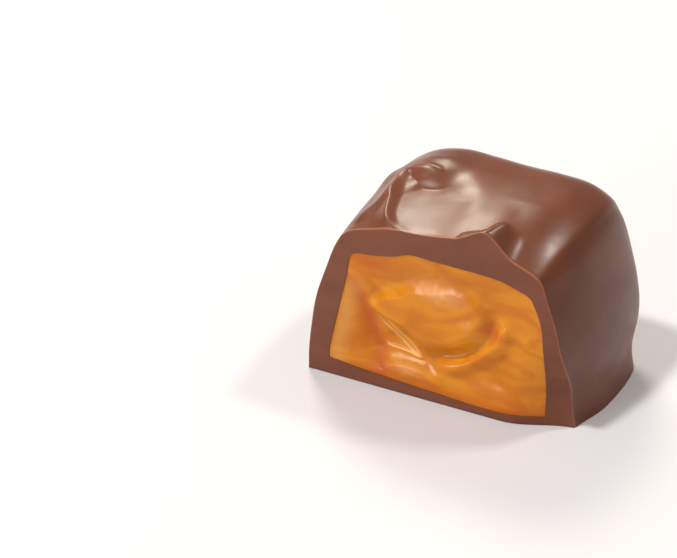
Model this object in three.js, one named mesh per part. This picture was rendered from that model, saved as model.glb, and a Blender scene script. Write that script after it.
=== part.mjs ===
// A chocolate-covered caramel, cut in half. Millimetres, +Z up.
// The cut face looks along -Y, +X runs across it, and the piece rests on its flat underside at z = 0.
// While it is being worked out, y is the depth behind the cut. The group then moves the piece so that
// the origin is at the bottom centre of its box.
import * as THREE from 'three';

const { clamp, lerp, smoothstep } = THREE.MathUtils;

// ---- Driving dimensions ----
const FOOT_DEPTH = 15.4; // underside, from the cut to the back
const BACK_LEAN = 1.6; // how far the back swells out above its foot
const BACK_BOW = 0.5; // how far the middle of the back stands behind its corners
const BLEND_DEPTH = 11; // depth at which the cut's outline has become the back's
const PLAN_SQUARENESS = 10.5; // exponent of the rounding of the upright back corners
const TOP_SQUARENESS = 7.5; // exponent of the rounding of the top's back edge
const CHIP_DEPTH = 2; // the cut falls back this far at its lower right corner
const CHIP_START = 6; // x at which it starts to
const CHIP_WIDTH = 6.6;
const CHIP_HEIGHT = 9;
const FILLING_DEPTH = 14.2; // the filling, from the cut to its hidden end
const FILLING_CENTRE = 7; // height about which the filling's sections shrink at that end
const FILLING_SQUARENESS = 6; // exponent of the rounding of that end
const FILLING_SWELL = 0.06; // growth of the filling behind the cut, as a share of its size
const GAP = 0.3; // between filling and coating
const CREST_ROUND = 0.25; // radius of the narrow crests of the flow marks

// Outlines in x and height, from the left foot over the top to the right foot.
const CUT_OUTLINE = [
  [-13.0, 0], [-12.95, 2.2], [-12.7, 4.6], [-12.2, 7.8], [-11.2, 11.0], [-10.25, 13.6],
  [-9.1, 15.15], [-6.7, 15.98], [-4.3, 16.5], [-1.4, 16.75], [1.6, 17.15], [4.2, 17.15],
  [6.4, 16.15], [8.4, 15.3], [9.15, 14.55], [9.7, 13.0], [10.65, 10.3], [11.35, 7.2],
  [11.65, 4.4], [11.8, 2.2], [12.15, 0],
];
const BACK_OUTLINE = [
  [-13.3, 0], [-13.0, 2.4], [-13.2, 5.0], [-13.0, 8.2], [-12.1, 11.4], [-10.9, 13.9],
  [-9.4, 16.1], [-7.3, 17.75], [-4.6, 18.5], [-1.6, 18.4], [1.6, 18.2], [4.6, 18.2],
  [7.6, 18.0], [9.7, 17.05], [10.55, 15.95], [11.25, 14.5], [12.0, 11.9], [12.8, 8.7],
  [13.25, 5.4], [13.15, 2.4], [13.6, 0],
];
// The filling's outline on the cut, from its lower left corner over the top to its lower right
// corner, and back underneath.
const FILLING_TOP = [
  [-10.9, 1.75], [-10.85, 2.9], [-10.35, 5.4], [-9.75, 8.1], [-9.2, 10.6], [-8.65, 12.95],
  [-6.5, 13.4], [-4.6, 13.8], [-3.0, 14.35], [-0.9, 14.3], [1.4, 14.25], [3.6, 14.2],
  [5.4, 14.05], [7.0, 13.6], [8.0, 13.2], [8.5, 12.6], [9.3, 10.6], [9.6, 8.0], [9.65, 5.0],
  [9.65, 2.6], [9.65, 0.85],
];
const FILLING_BASE = [
  [7.0, 0.85], [4.7, 0.8], [2.4, 0.85], [0, 1.0], [-2.5, 1.1], [-4.9, 1.25], [-7.4, 1.4],
];

// The pool, a smooth hollow in the coating's top: the line of its rim in x and depth, and its floor,
// which rises from the cut to the back and bends up to both sides.
const POOL_RIM = [
  [-1.6, -0.75], [-3.2, -0.3], [-4.3, 0.12], [-5.1, 0.5], [-5.8, 1.15], [-6.3, 2.0], [-6.7, 3.2],
  [-7.05, 4.6], [-7.4, 6.2], [-7.6, 7.4], [-7.3, 8.25], [-6.4, 8.5], [-5.4, 8.6], [-4.4, 8.9],
  [-3.2, 9.6], [-1.6, 10.5], [0.6, 11.2], [3.0, 11.4],
];
const POOL_CENTRE = -4;
const POOL_HEIGHT = 16.55;
const POOL_RISE = 0.15;
const POOL_BEND = 0.024;
const POOL_BANK = 0.8; // width of the bank down from its rim
const POOL_BACK_BANK = 3; // and of the bank at its back
const CREST_HEIGHT = 0.3; // the rim's raised edge

// The nub that stands at the cut on the pool's right, and a crease on the coating's left shoulder.
const NUB_LINE = [[3.5, -0.6], [3.7, 0.2], [4.0, 1.1], [4.35, 2.0], [4.65, 2.8], [4.85, 3.4]];
const NUB_HEIGHT = 1.15;
const CREASE_LINE = [[-9.2, 0.9], [-8.4, 2.0], [-7.8, 3.2], [-7.5, 4.4], [-7.5, 5.6], [-7.9, 7.2]];
const CREASE_HEIGHT = 0.28;

// The smeared caramel on the cut face: lines in x and height.
const LOBE = [
  [-6.9, 9.2], [-7.1, 7.7], [-5.1, 6.2], [-3.1, 4.8], [-1.7, 4.1], [-0.1, 4.5], [1.7, 5.0],
  [2.9, 5.9], [4.2, 7.2], [4.8, 8.7], [4.9, 10.0], [4.2, 11.4], [2.4, 12.4], [-0.5, 12.4],
  [-3.4, 11.6], [-5.6, 10.5], [-6.9, 9.2],
];
const LOBE_HEIGHT = 0.95;
const SWIRL_LINE = [
  [-0.9, 4.0], [0.6, 4.0], [2.0, 4.4], [3.2, 5.2], [4.4, 6.4], [5.4, 7.7], [5.8, 9.2], [5.6, 10.6],
];
const SWIRL_HEIGHT = 0.6;
const FURROW_LINE = [[-8.6, 10.2], [-7.9, 8.6], [-7.1, 6.9], [-6.6, 5.4], [-6.0, 3.6], [-5.7, 2.0]];
const FURROW_DEPTH = 0.22;
const LOW_RIDGE = [[-5.6, 2.1], [-4.6, 2.4], [-3.2, 2.8], [-1.6, 2.7], [0.2, 2.1]];
const LOW_RIDGE_HEIGHT = 0.4;
const FACE_HOLLOW = 0.95; // how far the face would lie behind the cut in the middle without them

// Fineness: steps along each stretch of the outlines, and rows from the cut to the back.
const SIDE_STEPS = 3;
const TOP_STEPS = 6;
const SIDE_STRETCHES = 5;
const COATING_ROWS = 40;
const FRONT_FOOT_STEPS = 13;
const FILLING_STEPS = 3;
const FILLING_ROWS = 8;
const FACE_RINGS = 16;

// ---- Lines and surfaces ----
function curveThrough(points) {
  return new THREE.SplineCurve(points.map(([u, v]) => new THREE.Vector2(u, v)));
}

// A line of relief. nearest() gives how far a place is from it, positive on the line's right
// hand, and which part of the line's length lies behind the nearest point.
class Line {
  constructor(points, steps = 60) {
    this.points = curveThrough(points).getPoints(steps);
    this.steps = steps;
  }

  nearest(u, v) {
    const place = new THREE.Vector2(u, v);
    let best = { distance: Infinity };
    for (let i = 0; i < this.steps; i += 1) {
      const start = this.points[i];
      const along = this.points[i + 1].clone().sub(start);
      const across = place.clone().sub(start);
      const part = clamp(across.dot(along) / along.lengthSq(), 0, 1);
      const distance = across.distanceTo(along.clone().multiplyScalar(part));
      if (distance < best.distance) {
        const right = along.x * across.y - along.y * across.x < 0;
        best = { distance, offset: right ? distance : -distance, part: (i + part) / this.steps };
      }
    }
    return best;
  }
}

// A rounded ridge's height at an offset from its line, with a width of its own on each side.
function bell(offset, leftWidth, rightWidth) {
  const width = offset < 0 ? leftWidth : rightWidth;
  return Math.exp(-((offset / width) ** 2));
}

// A sharper ridge: a narrow crest with a hollow flank on each side. A hollow of 1 is a straight flank.
function peak(offset, leftWidth, rightWidth, leftHollow = 2) {
  const away = Math.hypot(offset, CREST_ROUND) - CREST_ROUND;
  const onLeft = offset < 0;
  return (1 - Math.min(away / (onLeft ? leftWidth : rightWidth), 1)) ** (onLeft ? leftHollow : 2);
}

function mound(u, v, centreU, centreV, widthU, widthV) {
  return Math.exp(-(((u - centreU) / widthU) ** 2) - ((v - centreV) / widthV) ** 2);
}

// Collects vertices and faces of one closed body.
class Body {
  constructor() {
    this.places = [];
    this.faces = [];
  }

  vertex(x, y, z) {
    this.places.push(x, y, z);
    return this.places.length / 3 - 1;
  }

  // Joins two rows of vertices. Seen from outside, the next row lies to the left of this one.
  strip(row, next) {
    for (let i = 0; i + 1 < row.length; i += 1) {
      this.faces.push(row[i], row[i + 1], next[i + 1]);
      this.faces.push(row[i], next[i + 1], next[i]);
    }
  }

  // Closes a row to one vertex.
  fan(row, tip) {
    for (let i = 0; i + 1 < row.length; i += 1) {
      this.faces.push(row[i], row[i + 1], tip);
    }
  }

  // Joins two rows with different numbers of vertices. Each vertex has a key, which grows along
  // its row, and the row whose next key comes first is the one that steps on.
  zip(row, next, keyOf) {
    let [i, j] = [0, 0];
    while (i + 1 < row.length || j + 1 < next.length) {
      const nextDone = j + 1 === next.length;
      if (nextDone || (i + 1 < row.length && keyOf(row[i + 1]) <= keyOf(next[j + 1]))) {
        this.faces.push(row[i], row[i + 1], next[j]);
        i += 1;
      } else {
        this.faces.push(row[i], next[j + 1], next[j]);
        j += 1;
      }
    }
  }

  geometry() {
    const geometry = new THREE.BufferGeometry();
    geometry.setAttribute('position', new THREE.Float32BufferAttribute(this.places, 3));
    geometry.setIndex(this.faces);
    geometry.computeVertexNormals();
    return geometry;
  }
}

// ---- The coating's form ----
// How far the cut surface falls back, where the coating chipped as the piece was cut.
function chip(x, z) {
  const across = smoothstep(x, CHIP_START, CHIP_START + CHIP_WIDTH);
  return CHIP_DEPTH * across * (1 - smoothstep(z, CHIP_HEIGHT / 3, CHIP_HEIGHT));
}

// How far the back stands behind its foot's corners.
function backSwell(x, z) {
  const halfWidth = BACK_OUTLINE.at(-1)[0];
  const bow = BACK_BOW * (1 - (x / halfWidth) ** 2);
  return bow + BACK_LEAN * smoothstep(z, 0.3, 7) * (1 - 0.3 * smoothstep(z, 9, 18));
}

// Places along the outlines where columns stand, closer together over the top.
function columnPlaces() {
  const stretches = CUT_OUTLINE.length - 1;
  const places = [];
  for (let stretch = 0; stretch < stretches; stretch += 1) {
    const atSide = stretch < SIDE_STRETCHES || stretch >= stretches - SIDE_STRETCHES;
    const steps = atSide ? SIDE_STEPS : TOP_STEPS;
    for (let step = 0; step < steps; step += 1) {
      places.push((stretch + step / steps) / stretches);
    }
  }
  return [...places, 1];
}

// Rows from the cut to the middle of the back: how deep each is, as a share of the whole depth,
// and how much of the outline's width and height it keeps. They are spread evenly along the
// rounded edge, with the back's stretch counted as backShare of its length.
function rowStations(rows, planSquareness, topSquareness, backShare) {
  const samples = 2000;
  const path = [];
  let reach = 0;
  for (let i = 0; i <= samples; i += 1) {
    const angle = (i / samples) * (Math.PI / 2);
    const [down, deep] = [Math.cos(angle), Math.sin(angle)];
    const radius = (down ** topSquareness + deep ** topSquareness) ** (-1 / topSquareness);
    const [high, depth] = [down * radius, deep * radius];
    if (i > 0) reach += Math.hypot(depth - path[i - 1].depth, (high - path[i - 1].high) * backShare);
    path.push({ depth, high, reach });
  }
  const stations = [];
  for (let row = 0; row < rows; row += 1) {
    const { depth, high } = path.find((place) => place.reach >= (reach * row) / rows);
    stations.push({ depth, high, wide: (1 - depth ** planSquareness) ** (1 / planSquareness) });
  }
  return stations;
}

// The blend from the cut's form to the back's, quick at first.
function towardsBack(depth) {
  return 1 - (1 - Math.min(depth / BLEND_DEPTH, 1)) ** 2;
}

// Height of the pool's smooth floor.
function poolFloor(x, y) {
  const across = x - POOL_CENTRE;
  const levelling = 0.006 * y ** 2 * (1 - smoothstep(x, -5, -1));
  return POOL_HEIGHT + 0.02 * across + POOL_BEND * across ** 2 + POOL_RISE * y - levelling;
}

// How much lower the pool lies than the plain form, wherever that is higher than its floor. Towards
// its back right it runs out into the top.
function poolRelief(x, y, z, rim) {
  const atBack = smoothstep(y, 4, 7.5) * smoothstep(x, -7.4, -5.6);
  const runOut = smoothstep(x, POOL_CENTRE, 0) * smoothstep(y, 5, 9);
  const share = clamp(rim.offset / lerp(POOL_BANK, POOL_BACK_BANK, atBack), 0, 1);
  const inside = lerp(1 - (1 - share) ** 2, smoothstep(share, 0, 1), atBack);
  const drop = z - poolFloor(x, y);
  return -inside * (1 - runOut) * (drop + Math.hypot(drop, 0.17)) / 2;
}

// Flow marks on the top: how far the surface stands proud of the plain form.
function topRelief(x, y, z, lines) {
  const rim = lines.rim.nearest(x, y);
  const crest = smoothstep(rim.part, 0.12, 0.26) * (1 - smoothstep(rim.part, 0.6, 0.78));
  let height = poolRelief(x, y, z, rim) + CREST_HEIGHT * crest * peak(rim.offset, 1.3, 0.8);

  const nub = lines.nub.nearest(x, y);
  const nubLeft = 0.9 + 1.4 * (1 - smoothstep(nub.part, 0.15, 0.5));
  const nubRight = 3.4 - 1.8 * nub.part;
  const nubHeight = (NUB_HEIGHT - 0.3 * nub.part) * (1 - smoothstep(nub.part, 0.65, 1));
  height += nubHeight * peak(nub.offset, nubLeft, nubRight, 1.4);

  const crease = lines.crease.nearest(x, y);
  const creaseEnds = smoothstep(crease.part, 0, 0.25) * (1 - smoothstep(crease.part, 0.7, 1));
  height += CREASE_HEIGHT * bell(crease.offset, 0.8, 0.4) * creaseEnds;

  height += 0.35 * mound(x, y, -8.9, 8.6, 1.0, 1.4);
  height += 0.2 * mound(x, y, -5, 10.4, 2.6, 1);
  return height * smoothstep(z, 11, 14.5);
}

// The plain form as rows of points, then pushed out along its normals by the relief.
function coatingRows() {
  const places = columnPlaces();
  const cutCurve = curveThrough(CUT_OUTLINE);
  const backCurve = curveThrough(BACK_OUTLINE);
  const cut = places.map((place) => cutCurve.getPoint(place));
  const back = places.map((place) => backCurve.getPoint(place));
  const stations = rowStations(COATING_ROWS, PLAN_SQUARENESS, TOP_SQUARENESS, 0.6);
  const rows = stations.map(({ depth, wide, high }) => {
    const y = depth * FOOT_DEPTH;
    return cut.map((onCut, i) => {
      const outline = onCut.clone().lerp(back[i], towardsBack(y));
      const x = outline.x * wide;
      const z = outline.y * high;
      const chipped = chip(x, z) * (1 - smoothstep(y, 0, 7));
      return new THREE.Vector3(x, y + backSwell(x, z) * smoothstep(y, 4, FOOT_DEPTH) + chipped, z);
    });
  });
  return pushOut(rows);
}

function pushOut(rows) {
  const lines = {
    rim: new Line(POOL_RIM, 160),
    nub: new Line(NUB_LINE),
    crease: new Line(CREASE_LINE),
  };
  const body = new Body();
  const indices = rows.map((row) => row.map(({ x, y, z }) => body.vertex(x, y, z)));
  for (let j = 0; j + 1 < rows.length; j += 1) body.strip(indices[j], indices[j + 1]);
  const normals = body.geometry().getAttribute('normal');
  return rows.map((row, j) => row.map((place, i) => {
    const normal = new THREE.Vector3().fromBufferAttribute(normals, indices[j][i]);
    if (j === 0) normal.y = 0; // the cut stays where it is
    return place.clone().addScaledVector(normal, topRelief(place.x, place.y, place.z, lines));
  }));
}

// ---- The filling's form ----
// The filling's outline on the cut, drawn in by an inset.
function fillingLoop(inset) {
  const outline = [...FILLING_TOP, ...FILLING_BASE, FILLING_TOP[0]];
  const steps = (outline.length - 1) * FILLING_STEPS;
  const points = curveThrough(outline).getPoints(steps).slice(0, -1);
  return points.map((point, i) => {
    const before = points[(i + points.length - 1) % points.length];
    const after = points[(i + 1) % points.length];
    const along = after.clone().sub(before).normalize();
    return new THREE.Vector2(point.x + along.y * inset, point.y - along.x * inset);
  });
}

// Rows of the filling's side, or of the hollow it sits in, from the cut to the hidden end.
function fillingRows(inset) {
  const loop = fillingLoop(inset);
  const stations = rowStations(FILLING_ROWS, FILLING_SQUARENESS, FILLING_SQUARENESS, 0.5);
  return stations.map(({ depth, wide }) => {
    const y = depth * (FILLING_DEPTH - inset);
    const size = wide * (1 + FILLING_SWELL * towardsBack(y));
    return loop.map((point) => {
      const x = point.x * size;
      const z = FILLING_CENTRE + (point.y - FILLING_CENTRE) * size;
      return new THREE.Vector3(x, y + chip(x, z) * (1 - smoothstep(y, 0, 7)), z);
    });
  });
}

// How far the smeared caramel stands in front of its hollow: a broad lobe with a swirl's ridge round
// its lower right, a furrow on its left and a low ridge under it.
function faceRelief(x, z, lines) {
  const lobe = lines.lobe.nearest(x, z);
  let height = LOBE_HEIGHT * smoothstep(-lobe.offset, -0.1, 1.8 + 0.4 * smoothstep(z, 8, 11.5));

  const swirl = lines.swirl.nearest(x, z);
  const swirlEnds = smoothstep(swirl.part, 0, 0.15) * (1 - smoothstep(swirl.part, 0.75, 1));
  height += SWIRL_HEIGHT * bell(swirl.offset, 0.6, 0.9) * swirlEnds;

  const furrow = lines.furrow.nearest(x, z);
  height -= FURROW_DEPTH * bell(furrow.offset, 0.8, 1.1) * smoothstep(furrow.part, 0, 0.3);

  const low = lines.low.nearest(x, z);
  height += LOW_RIDGE_HEIGHT * bell(low.offset, 0.6, 0.6) * Math.sin(Math.PI * low.part) ** 0.6;
  return height;
}

// A place on the caramel's cut face. share is 1 at its outline and 0 in the middle.
function facePoint(x, z, share, lines) {
  const proud = faceRelief(x, z, lines) * smoothstep(1 - share, 0, 0.2);
  const sunk = FACE_HOLLOW * smoothstep(1 - share, 0, 0.8);
  return new THREE.Vector3(x, chip(x, z) + Math.max(sunk - proud, 0), z);
}

// ---- The two pieces ----
function addRows(body, rows, closed) {
  return rows.map((row) => {
    const indices = row.map(({ x, y, z }) => body.vertex(x, y, z));
    return closed ? [...indices, indices[0]] : indices;
  });
}

function chocolateCoating() {
  const body = new Body();
  const rows = addRows(body, coatingRows(), false);
  for (let j = 0; j + 1 < rows.length; j += 1) body.strip(rows[j], rows[j + 1]);
  const heel = body.vertex(0, FOOT_DEPTH + backSwell(0, 0), 0);
  body.fan(rows.at(-1), heel);

  // The underside, in rows from right to left. The first is the cut's lower edge.
  const leftFoot = CUT_OUTLINE[0][0];
  const rightFoot = CUT_OUTLINE.at(-1)[0];
  const edge = [];
  for (let step = 1; step < FRONT_FOOT_STEPS; step += 1) {
    const x = lerp(rightFoot, leftFoot, step / FRONT_FOOT_STEPS);
    edge.push(body.vertex(x, chip(x, 0), 0));
  }
  const feet = rows.map((row) => [row.at(-1), row[0]]);
  feet[0].splice(1, 0, ...edge);
  for (let j = 0; j + 1 < feet.length; j += 1) {
    body.zip(feet[j], feet[j + 1], (index) => -body.places[3 * index]);
  }
  body.fan(feet.at(-1), heel);

  // The hollow's rows run the other way round, because its wall faces inwards.
  const hollow = addRows(body, fillingRows(0), true).map((row) => row.reverse());
  for (let j = 0; j + 1 < hollow.length; j += 1) body.strip(hollow[j], hollow[j + 1]);
  body.fan(hollow.at(-1), body.vertex(0, FILLING_DEPTH, FILLING_CENTRE));

  // The cut's ring: its lower part from left to right, then from the right foot over the top.
  const corner = (FILLING_TOP.length - 1) * FILLING_STEPS;
  const inner = [...hollow[0]].reverse();
  body.zip([...feet[0]].reverse(), inner.slice(corner).reverse(), (index) => body.places[3 * index]);
  body.zip([...rows[0]].reverse(), inner.slice(0, corner + 1).reverse(), (index) => (
    Math.atan2(-body.places[3 * index], body.places[3 * index + 2] - FILLING_CENTRE)
  ));
  return body.geometry();
}

function caramelFilling() {
  const body = new Body();
  const rows = addRows(body, fillingRows(GAP), true);
  for (let j = 0; j + 1 < rows.length; j += 1) body.strip(rows[j], rows[j + 1]);
  body.fan(rows.at(-1), body.vertex(0, FILLING_DEPTH - GAP, FILLING_CENTRE));

  // The cut face, in rings from the outline to the middle.
  const lines = {
    lobe: new Line(LOBE, 160),
    swirl: new Line(SWIRL_LINE),
    furrow: new Line(FURROW_LINE),
    low: new Line(LOW_RIDGE),
  };
  const loop = fillingLoop(GAP);
  const rings = [];
  for (let ring = 1; ring < FACE_RINGS; ring += 1) {
    const share = 1 - ring / FACE_RINGS;
    rings.push(loop.map(({ x, y }) => (
      facePoint(x * share, FILLING_CENTRE + (y - FILLING_CENTRE) * share, share, lines)
    )));
  }
  const face = [rows[0], ...addRows(body, rings, true)];
  for (let j = 0; j + 1 < face.length; j += 1) body.strip(face[j + 1], face[j]);
  const middle = facePoint(0, FILLING_CENTRE, 0, lines);
  body.fan([...face.at(-1)].reverse(), body.vertex(middle.x, middle.y, middle.z));
  return body.geometry();
}

function piece(name, geometry, look) {
  const mesh = new THREE.Mesh(geometry, new THREE.MeshStandardMaterial(look));
  mesh.name = name;
  return mesh;
}

const CHOCOLATE = { color: '#7b4a36', roughness: 0.35, metalness: 0 };
const CARAMEL = { color: '#d58026', roughness: 0.2, metalness: 0 };

const candy = new THREE.Group();
candy.add(piece('chocolate_coating', chocolateCoating(), CHOCOLATE));
candy.add(piece('caramel_filling', caramelFilling(), CARAMEL));

const box = new THREE.Box3().setFromObject(candy);
const centre = box.getCenter(new THREE.Vector3());
candy.position.set(-centre.x, -centre.y, -box.min.z);

export default candy;
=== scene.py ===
"""A chocolate-covered caramel, cut in half, on a pale floor under soft studio light.

Blender's unit is the metre and +Z is up. The forms below are worked out in millimetres, with y
counted from the cut, and are moved into the frame's place at the end. Both CAD solids are
replaced: the coating and the filling are made again with the fine flow marks, the rounded cut
edge and the smeared caramel, and they touch.
"""

import math

import bpy
import numpy as np
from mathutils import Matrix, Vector


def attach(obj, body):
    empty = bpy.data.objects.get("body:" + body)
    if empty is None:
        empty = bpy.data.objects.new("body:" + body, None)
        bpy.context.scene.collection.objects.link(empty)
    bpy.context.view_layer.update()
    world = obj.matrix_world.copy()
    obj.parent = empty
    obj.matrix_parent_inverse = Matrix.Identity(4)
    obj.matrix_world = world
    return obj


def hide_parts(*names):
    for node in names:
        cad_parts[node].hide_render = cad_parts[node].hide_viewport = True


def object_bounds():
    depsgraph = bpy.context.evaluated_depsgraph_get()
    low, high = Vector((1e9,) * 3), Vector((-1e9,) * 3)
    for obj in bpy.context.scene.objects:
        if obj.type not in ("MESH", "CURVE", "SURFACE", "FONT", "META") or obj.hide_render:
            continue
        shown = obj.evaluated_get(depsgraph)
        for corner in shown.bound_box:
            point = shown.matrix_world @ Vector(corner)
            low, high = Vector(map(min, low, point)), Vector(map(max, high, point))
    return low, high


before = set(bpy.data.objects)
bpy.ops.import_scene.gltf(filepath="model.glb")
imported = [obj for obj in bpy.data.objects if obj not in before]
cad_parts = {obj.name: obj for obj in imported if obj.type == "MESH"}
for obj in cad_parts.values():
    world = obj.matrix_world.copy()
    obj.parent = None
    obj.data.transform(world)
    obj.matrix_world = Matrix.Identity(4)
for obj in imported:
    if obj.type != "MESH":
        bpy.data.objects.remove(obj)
cad_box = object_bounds()

MM = 0.001

# ---- The piece's sizes, as in the CAD model ----
FOOT_DEPTH = 15.4  # underside, from the cut to the back
BACK_LEAN = 1.6  # how far the back swells out above its foot
BACK_BOW = 0.5  # how far the middle of the back stands behind its corners
BLEND_DEPTH = 11.0  # depth at which the cut's outline has become the back's
PLAN_SQUARENESS = 10.5  # exponent of the rounding of the upright back corners
TOP_SQUARENESS = 7.5  # exponent of the rounding of the top's back edge
CHIP_DEPTH = 2.0  # the cut falls back this far at its lower right corner
CHIP_START = 6.0  # x at which it starts to
CHIP_WIDTH = 6.6
CHIP_HEIGHT = 9.0
CHIP_END = 7.0  # depth at which the surfaces behind the chip are back in their place
FILLING_DEPTH = 14.2  # the filling, from the cut to its hidden end
FILLING_CENTRE = 7.0  # height about which the filling's sections shrink at that end
FILLING_SQUARENESS = 6.0  # exponent of the rounding of that end
FILLING_SWELL = 0.06  # growth of the filling behind the cut, as a share of its size
# The last three are only in this scene, where the pieces touch.
EDGE_ROUND = 0.09  # radius of the coating's cut edge
EDGE_ANGLES = (30, 60, 90)  # degrees round that edge at which it has a row
BITE = 0.05  # how far the filling reaches into the coating, so that they touch

# Outlines in x and height, from the left foot over the top to the right foot.
CUT_OUTLINE = [
    (-13.0, 0), (-12.95, 2.2), (-12.7, 4.6), (-12.2, 7.8), (-11.2, 11.0), (-10.25, 13.6),
    (-9.1, 15.15), (-6.7, 15.98), (-4.3, 16.5), (-1.4, 16.75), (1.6, 17.15), (4.2, 17.15),
    (6.4, 16.15), (8.4, 15.3), (9.15, 14.55), (9.7, 13.0), (10.65, 10.3), (11.35, 7.2),
    (11.65, 4.4), (11.8, 2.2), (12.15, 0),
]
BACK_OUTLINE = [
    (-13.3, 0), (-13.0, 2.4), (-13.2, 5.0), (-13.0, 8.2), (-12.1, 11.4), (-10.9, 13.9),
    (-9.4, 16.1), (-7.3, 17.75), (-4.6, 18.5), (-1.6, 18.4), (1.6, 18.2), (4.6, 18.2),
    (7.6, 18.0), (9.7, 17.05), (10.55, 15.95), (11.25, 14.5), (12.0, 11.9), (12.8, 8.7),
    (13.25, 5.4), (13.15, 2.4), (13.6, 0),
]
# The filling's outline on the cut, from its lower left corner over the top to its lower right.
FILLING_TOP = [
    (-10.9, 1.75), (-10.85, 2.9), (-10.35, 5.4), (-9.75, 8.1), (-9.2, 10.6), (-8.65, 12.95),
    (-6.5, 13.4), (-4.6, 13.8), (-3.0, 14.35), (-0.9, 14.3), (1.4, 14.25), (3.6, 14.2),
    (5.4, 14.05), (7.0, 13.6), (8.0, 13.2), (8.5, 12.6), (9.3, 10.6), (9.6, 8.0), (9.65, 5.0),
    (9.65, 2.6), (9.65, 0.85),
]
# The rest of it, from that corner back underneath.
FILLING_BASE = [
    (9.65, 0.85), (7.0, 0.85), (4.7, 0.8), (2.4, 0.85), (0, 1.0), (-2.5, 1.1), (-4.9, 1.25),
    (-7.4, 1.4), (-10.9, 1.75),
]

# Lines of relief on the coating's top, in x and depth.
POOL_RIM = [
    (-1.6, -0.75), (-3.2, -0.3), (-4.3, 0.12), (-5.1, 0.5), (-5.8, 1.15), (-6.3, 2.0), (-6.7, 3.2),
    (-7.05, 4.6), (-7.4, 6.2), (-7.6, 7.4), (-7.3, 8.25), (-6.4, 8.5), (-5.4, 8.6), (-4.4, 8.9),
    (-3.2, 9.6), (-1.6, 10.5), (0.6, 11.2), (3.0, 11.4),
]
FOLD_LIP = [(-8.2, 8.5), (-7.4, 8.95), (-6.4, 9.1), (-5.4, 9.0), (-4.6, 8.75), (-4.0, 8.4)]
NUB_LINE = [(3.5, -0.6), (3.7, 0.2), (4.0, 1.1), (4.35, 2.0), (4.65, 2.8), (4.85, 3.4)]
VALLEY_LINE = [(6.5, -0.3), (5.9, 1.6), (5.15, 3.6), (4.7, 5.4), (4.5, 7.0)]
SWELL_LINE = [(8.0, 0.2), (7.2, 2.6), (6.4, 5.0), (5.6, 7.6), (5.0, 10.4)]
CREASE_LINE = [(-9.2, 0.9), (-8.4, 2.0), (-7.8, 3.2), (-7.5, 4.4), (-7.5, 5.6), (-7.9, 7.2)]
POOL_CENTRE = -4.0  # x of the pool's middle
POOL_HEIGHT = 16.55  # height of its floor there, at the cut
POOL_TILT = 0.02  # slope of its floor towards the right
POOL_BEND = 0.024  # how fast its floor bends up on both sides
POOL_RISE = 0.15  # slope of its floor towards the back
POOL_EASE = 0.006  # how fast that slope eases off on the left
POOL_SOFTNESS = 0.03  # rounding where its floor meets the plain form, in square millimetres
POOL_BANK = 0.8  # width of the bank down from its rim
POOL_BACK_BANK = 3.0  # and of the bank at its back
CREST_HEIGHT = 0.3  # the rim's raised edge
CREST_ROUND = 0.12
LIP_HEIGHT = 0.14
NUB_HEIGHT = 1.15
NUB_ROUND = 0.25
NUB_HOLLOW = 1.4  # exponent of the hollow curve of its left flank
VALLEY_DEPTH = 0.06
SWELL_HEIGHT = 0.05
CREASE_HEIGHT = 0.28
LEFT_MOUND_HEIGHT = 0.35
BACK_MOUND_HEIGHT = 0.185
RELIEF_START = 11.0  # height at which the relief of the top sets in
RELIEF_FULL = 14.5

# Lines of relief on the caramel's cut face, in x and height.
LOBE = [
    (-6.9, 9.2), (-7.1, 7.7), (-5.1, 6.2), (-3.1, 4.8), (-1.7, 4.1), (-0.1, 4.5), (1.7, 5.0),
    (2.9, 5.9), (4.2, 7.2), (4.8, 8.7), (4.9, 10.0), (4.2, 11.4), (2.4, 12.4), (-0.5, 12.4),
    (-3.4, 11.6), (-5.6, 10.5), (-6.9, 9.2),
]
SWIRL_RIM = [
    (-0.9, 4.0), (0.6, 4.0), (2.0, 4.4), (3.2, 5.2), (4.4, 6.4), (5.4, 7.7), (5.8, 9.2),
    (5.6, 10.6),
]
FOLDS = [
    [(-6.4, 7.3), (-5.1, 6.2), (-3.1, 4.5), (-1.7, 3.9)],
    [(-5.6, 7.6), (-4.4, 6.1), (-3.1, 5.1), (-1.9, 4.0)],
    [(-5.7, 4.5), (-4.9, 4.3), (-3.4, 4.2), (-1.9, 3.9)],
]
RED_VALLEY = [(-8.6, 10.2), (-7.9, 8.6), (-7.1, 6.9), (-6.6, 5.4), (-6.0, 3.6), (-5.7, 2.0)]
LOW_RIDGE = [(-5.6, 2.1), (-4.6, 2.35), (-3.2, 2.6), (-1.6, 2.5), (0.2, 2.0)]
LOBE_HEIGHT = 0.95
SWIRL_HEIGHT = 0.6
FOLD_HEIGHT = 0.12
RED_VALLEY_DEPTH = 0.22
LOW_RIDGE_HEIGHT = 0.42
# A dent and small mounds: how proud, x and height of the middle, and half width and height.
SMEARS = [
    (-0.12, -0.6, 9.9, 1.8, 0.6), (0.2, 2.2, 8.6, 0.45, 0.45), (0.1, 3.8, 9.7, 0.3, 0.6),
    (0.12, 5.9, 8.9, 0.25, 0.4), (0.14, 7.0, 6.2, 0.5, 0.3),
]
BROAD_WAVES = 0.035
FINE_WAVES = 0.008
FACE_HOLLOW = 0.95  # how far the face would lie behind the cut in the middle without them
FACE_EDGE = 0.06  # how far it lies behind the cut at the coating
FACE_GAP = 0.02  # the least that any of it lies behind the cut
SIDE_EDGE = 0.08  # where the filling's side starts, behind the cut

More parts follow.
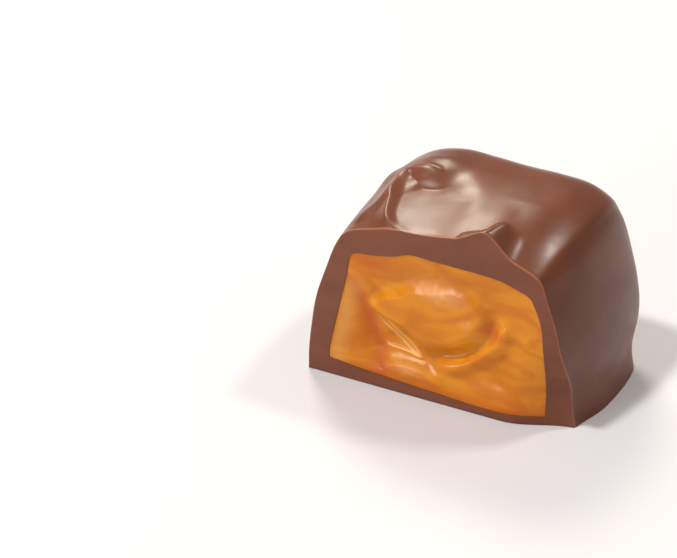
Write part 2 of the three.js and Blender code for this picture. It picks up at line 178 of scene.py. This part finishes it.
# Fineness: columns along each stretch of the outlines, and rows from the cut to the back.
SIDE_COLUMNS = 13
TOP_COLUMNS = 30
SIDE_STRETCHES = 5
BASE_COLUMNS = 40
SKIN_ROWS = 200
RING_ROWS = 12
HOLLOW_ROWS = 14
FACE_ROWS = 110
LONG_LINE_STEPS = 160  # straight pieces that stand for a long line of relief
PATH_STEPS = 8000  # steps along a rounded edge, from which its rows are taken
SKIN_BACK_SHARE = 0.6  # the back's stretch counts this much when the rows are spread
FILLING_BACK_SHARE = 0.5
SHARP_ANGLE = 50  # degrees between faces from which an edge is shaded sharp


# ---- Curves and fields ----
def curve_through(points, places):
    """Points at the places 0 to 1 of a smooth curve through the given points."""
    points = np.asarray(points, float)
    last = len(points) - 1
    at = np.clip(np.asarray(places, float) * last, 0, last)
    i = np.minimum(at.astype(int), last - 1)
    w = (at - i)[:, None]
    before = points[np.maximum(i - 1, 0)]
    start = points[i]
    end = points[i + 1]
    after = points[np.minimum(i + 2, last)]
    slope_in = (end - before) / 2
    slope_out = (after - start) / 2
    cubic = 2 * start - 2 * end + slope_in + slope_out
    square = -3 * start + 3 * end - 2 * slope_in - slope_out
    return cubic * w**3 + square * w**2 + slope_in * w + start


def rise(x, low, high):
    """0 below low and 1 above high, with a smooth step between."""
    t = np.clip((np.asarray(x, float) - low) / (high - low), 0, 1)
    return t * t * (3 - 2 * t)


def nearest(u, v, points, steps=80):
    """Offset from the curve through the points, positive on its right hand, and the part passed."""
    curve = curve_through(points, np.linspace(0, 1, steps + 1))
    best = np.full(u.shape, np.inf)
    part = np.zeros(u.shape)
    sign = np.ones(u.shape)
    for i in range(steps):
        (start_u, start_v), (along_u, along_v) = curve[i], curve[i + 1] - curve[i]
        across_u = u - start_u
        across_v = v - start_v
        w = (across_u * along_u + across_v * along_v) / (along_u**2 + along_v**2)
        w = np.clip(w, 0, 1)
        distance = np.hypot(across_u - w * along_u, across_v - w * along_v)
        nearer = distance < best
        best = np.where(nearer, distance, best)
        part = np.where(nearer, (i + w) / steps, part)
        right = along_u * across_v - along_v * across_u < 0
        sign = np.where(nearer, np.where(right, 1.0, -1.0), sign)
    return best * sign, part


def bell(offset, left_width, right_width):
    return np.exp(-((offset / np.where(offset < 0, left_width, right_width)) ** 2))


def between(part, grown, falling):
    """Grows from a line's start to one part of it, and falls from another part to its end."""
    return rise(part, 0, grown) * (1 - rise(part, falling, 1))


def mound(u, v, centre_u, centre_v, width_u, width_v):
    return np.exp(-(((u - centre_u) / width_u) ** 2) - ((v - centre_v) / width_v) ** 2)


def waves(u, v, seed, size, count=14):
    """Smooth seeded unevenness of about -1 to 1, with features of about the given size."""
    draw = np.random.default_rng(seed)
    field = np.zeros(np.shape(u))
    for _ in range(count):
        angle = draw.uniform(0, 2 * math.pi)
        pitch = size * draw.uniform(0.7, 1.6)
        turn = 2 * math.pi / pitch
        field += np.sin(turn * (u * math.cos(angle) + v * math.sin(angle)) + draw.uniform(0, 6.3))
    return field / math.sqrt(2 * count)


# ---- The coating's form ----
def chip(x, z):
    """How far the cut surface falls back, where the coating chipped as the piece was cut."""
    across = rise(x, CHIP_START, CHIP_START + CHIP_WIDTH)
    return CHIP_DEPTH * across * (1 - rise(z, CHIP_HEIGHT / 3, CHIP_HEIGHT))


def back_swell(x, z):
    bow = BACK_BOW * (1 - (x / BACK_OUTLINE[-1][0]) ** 2)
    return bow + BACK_LEAN * rise(z, 0.3, 7) * (1 - 0.3 * rise(z, 9, 18))


def towards_back(depth):
    return 1 - (1 - np.minimum(depth / BLEND_DEPTH, 1)) ** 2


def column_places():
    """Places along the outlines where columns stand, closer together over the top."""
    stretches = len(CUT_OUTLINE) - 1
    places = []
    for stretch in range(stretches):
        at_side = stretch < SIDE_STRETCHES or stretch >= stretches - SIDE_STRETCHES
        steps = SIDE_COLUMNS if at_side else TOP_COLUMNS
        places += [(stretch + step / steps) / stretches for step in range(steps)]
    return places + [1.0]


PLACES = column_places()
BASE_PLACES = np.linspace(0, 1, BASE_COLUMNS + 1)[1:-1]


def section_loop(outline):
    """A closed section: over the top from the left foot, and back along the flat underside."""
    over = curve_through(outline, PLACES)
    feet = np.array([over[-1], over[0]])
    under = feet[0] + (feet[1] - feet[0]) * BASE_PLACES[:, None]
    return np.vstack([over, under])


def filling_loop(grow):
    """The filling's outline on the cut with the section's columns, grown outwards."""
    over = curve_through(FILLING_TOP, PLACES)
    under = curve_through(FILLING_BASE, BASE_PLACES)
    loop = np.vstack([over, under])
    along = np.roll(loop, -1, 0) - np.roll(loop, 1, 0)
    along /= np.linalg.norm(along, axis=1)[:, None]
    return loop + grow * np.stack([-along[:, 1], along[:, 0]], 1)


def stations(rows, plan_squareness, top_squareness, back_share):
    """Depth, kept width and kept height of rows spread evenly round a rounded back edge."""
    angle = np.linspace(0, math.pi / 2, PATH_STEPS + 1)
    down, deep = np.cos(angle), np.sin(angle)
    radius = (down**top_squareness + deep**top_squareness) ** (-1 / top_squareness)
    high, depth = down * radius, deep * radius
    reach = np.concatenate([[0], np.cumsum(np.hypot(np.diff(depth), np.diff(high) * back_share))])
    at = np.linspace(0, reach[-1], rows + 1)[:-1]
    depth = np.interp(at, reach, depth)
    high = np.interp(at, reach, high)
    wide = np.maximum(1 - depth**plan_squareness, 0) ** (1 / plan_squareness)
    return depth, wide, high


def skin_stations():
    return stations(SKIN_ROWS, PLAN_SQUARENESS, TOP_SQUARENESS, SKIN_BACK_SHARE)


def plain_rows():
    """The coating's form without relief: rows of a closed section, from the cut to the back."""
    cut = section_loop(CUT_OUTLINE)
    back = section_loop(BACK_OUTLINE)
    rows = []
    for depth, wide, high in zip(*skin_stations()):
        y = depth * FOOT_DEPTH
        share = towards_back(y)
        x, z = (cut * (1 - share) + back * share).T
        x = x * wide
        z = z * high
        chipped = chip(x, z) * (1 - rise(y, 0, CHIP_END))
        rows.append(np.stack([x, y + back_swell(x, z) * rise(y, 4, FOOT_DEPTH) + chipped, z], 1))
    return np.array(rows)


def peak(offset, left_width, right_width, rounding, left_hollow=2.0):
    """1 on the line, falling in a hollow curve to 0 at the widths; the peak itself is narrow."""
    away = np.sqrt(offset**2 + rounding**2) - rounding
    left = (1 - np.minimum(away / left_width, 1)) ** left_hollow
    right = (1 - np.minimum(away / right_width, 1)) ** 2
    return np.where(offset < 0, left, right)


def pool_floor(x, y):
    """Height of the smooth floor of the pool."""
    across = x - POOL_CENTRE
    easing = POOL_EASE * y**2 * (1 - rise(x, -5, -1))
    return POOL_HEIGHT + POOL_TILT * across + POOL_BEND * across**2 + POOL_RISE * y - easing


def pool_relief(x, y, z):
    """The pool and its raised rim. Towards its back right it runs out into the top."""
    offset, part = nearest(x, y, POOL_RIM, LONG_LINE_STEPS)
    at_back = rise(y, 4, 7.5) * rise(x, -7.4, -5.6)
    bank = POOL_BANK + (POOL_BACK_BANK - POOL_BANK) * at_back
    drop = z - pool_floor(x, y)
    drop = (drop + np.sqrt(drop**2 + POOL_SOFTNESS)) / 2
    share = np.clip(offset / bank, 0, 1)
    inside = (1 - (1 - share) ** 2) * (1 - at_back) + rise(share, 0, 1) * at_back
    run_out = rise(x, POOL_CENTRE, 0) * rise(y, 5, 9)
    crest = CREST_HEIGHT * rise(part, 0.12, 0.26) * (1 - rise(part, 0.6, 0.78))
    return crest * peak(offset, 1.3, 0.8, CREST_ROUND) - drop * inside * (1 - run_out)


def top_relief(x, y, z):
    """Flow marks on the top: how far the surface stands proud of the plain form."""
    height = pool_relief(x, y, z)

    offset, part = nearest(x, y, FOLD_LIP)
    height += LIP_HEIGHT * np.sin(math.pi * part) ** 0.7 * bell(offset, 0.3, 0.2)

    offset, part = nearest(x, y, NUB_LINE)
    left = 0.9 + 1.4 * (1 - rise(part, 0.15, 0.5))
    right = 3.4 - 1.8 * part
    nub = (NUB_HEIGHT - 0.3 * part) * (1 - rise(part, 0.65, 1))
    height += nub * peak(offset, left, right, NUB_ROUND, NUB_HOLLOW)

    offset, part = nearest(x, y, VALLEY_LINE)
    height -= VALLEY_DEPTH * bell(offset, 1.2, 1.8) * between(part, 0.3, 0.75)

    offset, part = nearest(x, y, SWELL_LINE)
    height += SWELL_HEIGHT * bell(offset, 1.5, 1.7) * between(part, 0.2, 0.7)

    offset, part = nearest(x, y, CREASE_LINE)
    height += CREASE_HEIGHT * bell(offset, 0.8, 0.4) * between(part, 0.25, 0.7)

    height += LEFT_MOUND_HEIGHT * mound(x, y, -8.9, 8.6, 1.0, 1.4)
    height += BACK_MOUND_HEIGHT * mound(x, y, -5, 10.4, 2.6, 1)
    return height * rise(z, RELIEF_START, RELIEF_FULL)


def skin_rows():
    """The plain form, pushed out along its normals by the relief."""
    rows = plain_rows()
    along = np.roll(rows, -1, 1) - np.roll(rows, 1, 1)
    back = np.gradient(rows, axis=0)
    normal = np.cross(along, back)
    normal /= np.maximum(np.linalg.norm(normal, axis=2), 1e-9)[:, :, None]
    x, y, z = np.moveaxis(rows, 2, 0)
    height = top_relief(x, y, z)
    normal[..., 1] *= rise(y - chip(x, z), 0, 0.6)  # the cut stays where it is
    return rows + normal * height[..., None]


def inward(loop):
    """Unit normals of a closed loop in x and z, pointing into it."""
    along = np.roll(loop, -1, 0) - np.roll(loop, 1, 0)
    along /= np.linalg.norm(along, axis=1)[:, None]
    return np.stack([along[:, 1], -along[:, 0]], 1)


def filling_rows(grow, rows):
    """Rows of the filling's side, or of the hollow it sits in, from the cut to the hidden end."""
    loop = filling_loop(grow)
    result = []
    spread = stations(rows, FILLING_SQUARENESS, FILLING_SQUARENESS, FILLING_BACK_SHARE)
    for depth, wide, _ in zip(*spread):
        y = depth * (FILLING_DEPTH + grow)
        size = wide * (1 + FILLING_SWELL * towards_back(y))
        x = loop[:, 0] * size
        z = FILLING_CENTRE + (loop[:, 1] - FILLING_CENTRE) * size
        result.append(np.stack([x, y + chip(x, z) * (1 - rise(y, 0, CHIP_END)), z], 1))
    return np.array(result)


def coating_rows():
    """All rows of the coating, from the hollow's end out over the cut and on to the back."""
    edge = SKIN[0][:, [0, 2]]
    into = inward(edge)
    hollow = filling_rows(0, HOLLOW_ROWS)
    mouth = hollow[0][:, [0, 2]]
    inner = edge + into * EDGE_ROUND
    ring = []
    for share in np.linspace(0, 1, RING_ROWS + 1)[1:]:
        x, z = (mouth * (1 - share) + inner * share).T
        ring.append(np.stack([x, chip(x, z), z], 1))
    bevel = []
    for angle in np.radians(EDGE_ANGLES):
        x, z = (edge + into * EDGE_ROUND * (1 - math.sin(angle))).T
        bevel.append(np.stack([x, chip(x, z) + EDGE_ROUND * (1 - math.cos(angle)), z], 1))
    depth = skin_stations()[0] * FOOT_DEPTH
    return np.concatenate([hollow[::-1], ring, bevel, SKIN[depth > 1.5 * EDGE_ROUND]])


# ---- The filling's form ----
def face_relief(x, z):
    """How far the smeared caramel stands in front of its hollow."""
    offset, _ = nearest(x, z, LOBE, LONG_LINE_STEPS)
    height = LOBE_HEIGHT * rise(-offset, -0.1, 1.8 + 0.4 * rise(z, 8.0, 11.5))

    offset, part = nearest(x, z, SWIRL_RIM)
    height += SWIRL_HEIGHT * bell(offset, 0.6, 0.9) * between(part, 0.15, 0.75)

    for fold in FOLDS:
        offset, part = nearest(x, z, fold)
        height += FOLD_HEIGHT * bell(offset, 0.14, 0.14) * between(part, 0.3, 0.9)

    offset, part = nearest(x, z, RED_VALLEY)
    height -= RED_VALLEY_DEPTH * bell(offset, 0.8, 1.1) * rise(part, 0, 0.3)

    offset, part = nearest(x, z, LOW_RIDGE)
    height += LOW_RIDGE_HEIGHT * bell(offset, 0.65, 0.6) * np.sin(math.pi * part) ** 0.6

    for proud, *place in SMEARS:
        height += proud * mound(x, z, *place)
    height += BROAD_WAVES * waves(x, z * 1.6, 3, 3.2)
    return height + FINE_WAVES * waves(x * 1.3, z, 5, 0.9)


def face_point(x, z, share):
    """The cut face of the caramel; share is 1 at its outline and 0 in the middle."""
    proud = face_relief(x, z) * rise(1 - share, 0, 0.2)
    sunk = FACE_EDGE + FACE_HOLLOW * rise(1 - share, 0, 0.8)
    return np.stack([x, chip(x, z) + FACE_GAP + np.maximum(sunk - proud, 0), z], 1)


def caramel_rows():
    """All rows of the filling, from its hidden end forwards and over the face to its middle."""
    side = filling_rows(BITE, HOLLOW_ROWS)
    side[0][:, 1] += SIDE_EDGE
    loop = filling_loop(BITE)
    centre = np.array([0, FILLING_CENTRE])
    face = []
    for row in range(FACE_ROWS):
        share = 1 - (row + 0.15) / FACE_ROWS
        x, z = (centre + (loop - centre) * share).T
        face.append(face_point(x, z, np.full(len(x), share)))
    return np.concatenate([side[::-1], face])


# ---- Meshes ----
def mesh_of_rows(name, rows, shift):
    """A closed mesh: rows of a closed loop, with each end drawn together to one point."""
    count, columns = rows.shape[:2]
    ends = np.stack([rows[0].mean(0), rows[-1].mean(0)])
    places = (np.vstack([rows.reshape(-1, 3), ends]) + shift) * MM
    index = np.arange(count * columns).reshape(count, columns)
    index = np.hstack([index, index[:, :1]])
    corners = [index[:-1, :-1], index[:-1, 1:], index[1:, 1:], index[1:, :-1]]
    quads = np.stack(corners, -1).reshape(-1, 4)
    first, last = count * columns, count * columns + 1
    tips = [(a, first, b) for a, b in zip(index[0, 1:], index[0, :-1])]
    tips += [(a, b, last) for a, b in zip(index[-1, :-1], index[-1, 1:])]
    mesh = bpy.data.meshes.new(name)
    mesh.from_pydata(places.tolist(), [], quads.tolist() + [tuple(map(int, tip)) for tip in tips])
    mesh.polygons.foreach_set("use_smooth", [True] * len(mesh.polygons))
    mesh.update()
    piece = bpy.data.objects.new(name, mesh)
    bpy.context.scene.collection.objects.link(piece)
    return piece


def paint(piece, name, values):
    """Stores one number for each vertex, for the material to read."""
    layer = piece.data.attributes.new(name, "FLOAT", "POINT")
    layer.data.foreach_set("value", np.asarray(values, np.float32))


# ---- Materials ----
DULL_ROUGHNESS = 0.42  # of the caramel's duller patches, which are also painted paler as highlights


def linear(red, green, blue):
    """A colour given as it looks on a screen, 0 to 255, as Blender's linear numbers."""
    colour = []
    for value in (red / 255, green / 255, blue / 255):
        colour.append(value / 12.92 if value <= 0.04045 else ((value + 0.055) / 1.055) ** 2.4)
    return (*colour, 1.0)


class Look:
    """A node material with a Principled shader, and short calls for what is added to it."""

    def __init__(self, name):
        self.material = bpy.data.materials.new(name)
        self.material.use_nodes = True
        self.nodes = self.material.node_tree.nodes
        self.links = self.material.node_tree.links
        self.shader = self.nodes["Principled BSDF"]
        self.place = self.nodes.new("ShaderNodeTexCoord").outputs["Object"]

    def set(self, **values):
        for name, value in values.items():
            self.shader.inputs[name.replace("_", " ")].default_value = value

    def join(self, source, socket):
        self.links.new(source, socket)

    def noise(self, size_mm, detail=3.0, stretch=(1, 1, 1), distortion=0.0):
        """Noise with features of about that size, from 0 to 1."""
        mapping = self.nodes.new("ShaderNodeMapping")
        mapping.inputs["Scale"].default_value = [1 / (size_mm * MM * part) for part in stretch]
        self.join(self.place, mapping.inputs["Vector"])
        noise = self.nodes.new("ShaderNodeTexNoise")
        noise.inputs["Scale"].default_value = 1.0
        noise.inputs["Detail"].default_value = detail
        noise.inputs["Distortion"].default_value = distortion
        self.join(mapping.outputs["Vector"], noise.inputs["Vector"])
        return noise.outputs["Fac"]

    def span(self, source, low, high, to_low=0.0, to_high=1.0):
        """The source's values from low to high, drawn out to another span."""
        node = self.nodes.new("ShaderNodeMapRange")
        node.interpolation_type = "SMOOTHSTEP"
        for socket, value in zip(node.inputs[1:5], (low, high, to_low, to_high)):
            socket.default_value = value
        self.join(source, node.inputs[0])
        return node.outputs[0]

    def painted(self, name):
        node = self.nodes.new("ShaderNodeAttribute")
        node.attribute_name = name
        return node.outputs["Fac"]

    def blend(self, share, one, other):
        """One colour, or the output of another blend, turned into other by share."""
        node = self.nodes.new("ShaderNodeMix")
        node.data_type = "RGBA"
        for index, value in ((0, share), (6, one), (7, other)):
            if isinstance(value, tuple):
                node.inputs[index].default_value = value
            else:
                self.join(value, node.inputs[index])
        return node.outputs[2]

    def bump(self, source, height_mm):
        """Adds relief of that height to the relief that is already there."""
        node = self.nodes.new("ShaderNodeBump")
        node.inputs["Distance"].default_value = height_mm * MM
        node.inputs["Strength"].default_value = 1.0
        self.join(source, node.inputs["Height"])
        before = self.shader.inputs["Normal"].links
        if before:
            self.join(before[0].from_socket, node.inputs["Normal"])
        self.join(node.outputs["Normal"], self.shader.inputs["Normal"])


def chocolate_skin():
    look = Look("chocolate_skin")
    look.set(IOR=1.38, Subsurface_Weight=0.08, Subsurface_Scale=0.0005)
    look.set(Subsurface_Radius=(1.0, 0.45, 0.25))
    cloud = look.span(look.noise(5.0, 2.0), 0.35, 0.65)
    colour = look.blend(cloud, linear(98, 53, 32), linear(106, 58, 35))
    # Painted highlight: the rounded cut edge is painted paler, as the thin bright line along it.
    colour = look.blend(look.painted("edge"), colour, linear(150, 92, 66))
    look.join(colour, look.shader.inputs["Base Color"])
    roughness = look.span(look.noise(2.2, 4.0), 0.3, 0.7, 0.285, 0.35)
    look.join(roughness, look.shader.inputs["Roughness"])
    look.bump(look.noise(1.6, 3.0), 0.012)
    return look.material


def chocolate_cut():
    look = Look("chocolate_cut")
    look.set(IOR=1.45, Subsurface_Weight=0.15, Subsurface_Scale=0.0006)
    look.set(Subsurface_Radius=(1.0, 0.45, 0.25))
    smear = look.span(look.noise(2.5, 3.0, (2.5, 1, 1), 0.6), 0.35, 0.65)
    colour = look.blend(smear, linear(106, 55, 32), linear(114, 61, 36))
    look.join(colour, look.shader.inputs["Base Color"])
    roughness = look.span(look.noise(0.8, 3.0), 0.3, 0.7, 0.5, 0.62)
    look.join(roughness, look.shader.inputs["Roughness"])
    look.bump(look.noise(0.9, 4.0, (2.0, 1, 1)), 0.02)
    look.bump(look.noise(0.16, 2.0), 0.004)
    return look.material


def caramel():
    look = Look("caramel")
    look.set(IOR=1.37, Subsurface_Weight=0.6, Subsurface_Scale=0.0009)
    look.set(Subsurface_Radius=(1.0, 0.4, 0.1))
    swirl = look.span(look.noise(3.0, 3.0, (1.6, 1, 0.8), 1.2), 0.35, 0.65)
    colour = look.blend(swirl, linear(194, 112, 8), linear(208, 132, 14))
    # Redder along the red valley and at a spot; painted shade next to the coating at the top left;
    # darker towards the bottom.
    colour = look.blend(look.painted("deep"), colour, linear(184, 82, 10))
    colour = look.blend(look.painted("pale"), colour, linear(206, 146, 70))
    # Painted highlight: pale lines along the folds.
    colour = look.blend(look.painted("painted_fold_highlight"), colour, linear(236, 182, 112))
    # Painted highlight: paler colour on the patches where the broad highlights lie.
    colour = look.blend(look.painted("painted_highlight_and_dull"), colour, linear(232, 176, 120))
    look.join(colour, look.shader.inputs["Base Color"])
    glossy = look.span(look.noise(1.4, 3.0), 0.3, 0.7, 0.16, 0.27)
    roughness = look.blend(look.painted("painted_highlight_and_dull"), glossy, (DULL_ROUGHNESS,) * 3 + (1.0,))
    look.join(roughness, look.shader.inputs["Roughness"])
    look.bump(look.noise(1.3, 3.0, (1.8, 1, 0.8), 0.8), 0.02)
    return look.material


def floor_paper():
    look = Look("floor_paper")
    look.set(Roughness=0.7)
    cloud = look.noise(60.0, 2.0)
    colour = look.blend(cloud, linear(205, 203, 205), linear(208, 206, 208))
    look.join(colour, look.shader.inputs["Base Color"])
    return look.material


# ---- Pieces ----
SKIN = skin_rows()
SHIFT = np.array([cad_box[0].x / MM - SKIN[..., 0].min(), cad_box[0].y / MM, 0.0])


def chocolate_coating():
    rows = coating_rows()
    piece = mesh_of_rows("coating", rows, SHIFT)
    piece.data.materials.append(chocolate_skin())
    piece.data.materials.append(chocolate_cut())
    columns = rows.shape[1]
    on_cut = columns * (HOLLOW_ROWS + RING_ROWS)
    slots = np.zeros(len(piece.data.polygons), int)
    slots[:on_cut] = 1
    piece.data.polygons.foreach_set("material_index", slots)
    # Painted highlight: the rows of the rounded cut edge are marked, for the skin to paint them
    # paler as a thin bright line.
    edge = np.zeros(len(piece.data.vertices))
    edge[on_cut : on_cut + columns * len(EDGE_ANGLES)] = 1
    paint(piece, "edge", edge)
    piece.data.set_sharp_from_angle(angle=math.radians(SHARP_ANGLE))
    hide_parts("chocolate_coating")
    return piece


def caramel_filling():
    rows = caramel_rows()
    piece = mesh_of_rows("filling", rows, SHIFT)
    x, _, z = np.vstack([rows.reshape(-1, 3), rows[0].mean(0)[None], rows[-1].mean(0)[None]]).T
    offset, _ = nearest(x, z, RED_VALLEY)
    # Redder along the red valley and at a spot right of the middle, painted shade next to the
    # coating at the top left, and darker towards the bottom.
    deep = 0.8 * bell(offset, 0.7, 0.9) + 0.8 * mound(x, z, 4.6, 8.4, 0.6, 1.2)
    deep += 0.7 * mound(x, z, -7.2, 12.6, 2.4, 1.2) + 0.6 * (1 - rise(z, 0.9, 2.6))
    paint(piece, "deep", np.clip(deep, 0, 1))
    left_edge, height = np.array(FILLING_TOP[:6]).T
    inside = x - np.interp(z, height, left_edge)
    pale = 0.6 * rise(inside, 0, 0.5) * (1 - rise(inside, 0.8, 2.2)) * (1 - rise(z, 9, 12))
    paint(piece, "pale", pale)
    painted_fold_highlight = np.zeros(len(x))  # painted highlight: pale lines along the folds
    for fold in FOLDS:
        offset, part = nearest(x, z, fold)
        painted_fold_highlight += 0.8 * bell(offset, 0.1, 0.13) * between(part, 0.3, 0.8)
    paint(piece, "painted_fold_highlight", np.clip(painted_fold_highlight, 0, 1))
    # Painted highlights: paler and duller patches where the broad highlights lie, rougher to spread
    # them and painted paler to lighten them.
    painted_highlight_and_dull = 0.75 * mound(x + 0.6 * (z - 11), z, -0.3, 11.2, 2.0, 0.85)
    painted_highlight_and_dull += 0.4 * mound(x, z, 2.4, 8.8, 0.5, 0.4) + 0.5 * mound(x, z, -3.2, 2.7, 1.6, 0.5)
    paint(piece, "painted_highlight_and_dull", painted_highlight_and_dull * (0.8 + 0.2 * waves(x, z, 8, 0.8)))
    piece.data.materials.append(caramel())
    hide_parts("caramel_filling")
    return piece


# ---- Stage ----
CAMERA_AZIMUTH = 27.3
CAMERA_ELEVATION = 30.5
CAMERA_DISTANCE = 198.4
CAMERA_TARGET = np.array([-9.937, 0.0, 10.137])  # in millimetres, on the plane of the cut
LENS = 120.0
SENSOR_WIDTH = 36.0
LIGHT_TARGET = Vector((0, 0, 0.008))  # in metres, about the piece's middle
# Name, azimuth, elevation, distance, width and height in metres, power in watts, and tint.
SOFTBOXES = [
    ("softbox_back", 217.8, 46, 0.6, 0.16, 0.18, 1.95, (1.0, 0.925, 0.78)),
    ("softbox_right", 132, 56, 0.6, 0.09, 0.06, 1.3, (1.0, 0.95, 0.88)),
    ("softbox_left", -44.8, 63, 0.6, 0.06, 0.06, 2.6, (1.0, 1.0, 1.0)),
    ("softbox_front", -22, 13, 0.6, 0.18, 0.17, 1.25, (1.0, 0.97, 0.93)),
    ("softbox_low", 232, 8, 0.7, 0.4, 0.12, 0.3, (1.0, 0.93, 0.88)),
]
FLOOR_HALF = 3.0  # half the floor's width, in metres
WORLD_COLOUR = (1.0, 0.94, 0.93, 1.0)
WORLD_STRENGTH = 0.29


def direction(azimuth, elevation):
    """Unit vector towards a place; azimuth 0 is in front of the cut and 90 to its right."""
    a, e = math.radians(azimuth), math.radians(elevation)
    return Vector((math.sin(a) * math.cos(e), -math.cos(a) * math.cos(e), math.sin(e)))


def look_at(thing, place, target):
    thing.location = place
    thing.rotation_euler = (target - place).to_track_quat("-Z", "Y").to_euler()


def camera():
    data = bpy.data.cameras.new("camera")
    data.lens = LENS
    data.sensor_width = SENSOR_WIDTH
    data.clip_start = 0.01
    data.clip_end = 20.0
    thing = bpy.data.objects.new("camera", data)
    bpy.context.scene.collection.objects.link(thing)
    target = Vector((CAMERA_TARGET + SHIFT) * MM)
    back = direction(CAMERA_AZIMUTH, CAMERA_ELEVATION)
    look_at(thing, target + back * CAMERA_DISTANCE * MM, target)
    bpy.context.scene.camera = thing


def softbox(name, azimuth, elevation, distance, width, height, power, tint):
    data = bpy.data.lights.new(name, "AREA")
    data.shape = "RECTANGLE"
    data.size = width
    data.size_y = height
    data.energy = power
    data.color = tint
    thing = bpy.data.objects.new(name, data)
    bpy.context.scene.collection.objects.link(thing)
    look_at(thing, LIGHT_TARGET + direction(azimuth, elevation) * distance, LIGHT_TARGET)


def stage():
    data = bpy.data.meshes.new("floor")
    signs = ((-1, -1), (1, -1), (1, 1), (-1, 1))
    corners = [(x * FLOOR_HALF, y * FLOOR_HALF, 0) for x, y in signs]
    data.from_pydata(corners, [], [(0, 1, 2, 3)])
    floor = bpy.data.objects.new("floor", data)
    floor.data.materials.append(floor_paper())
    bpy.context.scene.collection.objects.link(floor)
    world = bpy.data.worlds.new("studio")
    world.use_nodes = True
    background = world.node_tree.nodes["Background"]
    background.inputs["Color"].default_value = WORLD_COLOUR
    background.inputs["Strength"].default_value = WORLD_STRENGTH
    bpy.context.scene.world = world
    for light in SOFTBOXES:
        softbox(*light)
    bpy.context.scene.view_settings.view_transform = "Standard"


for piece in (chocolate_coating(), caramel_filling()):
    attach(piece, "root")
stage()
camera()
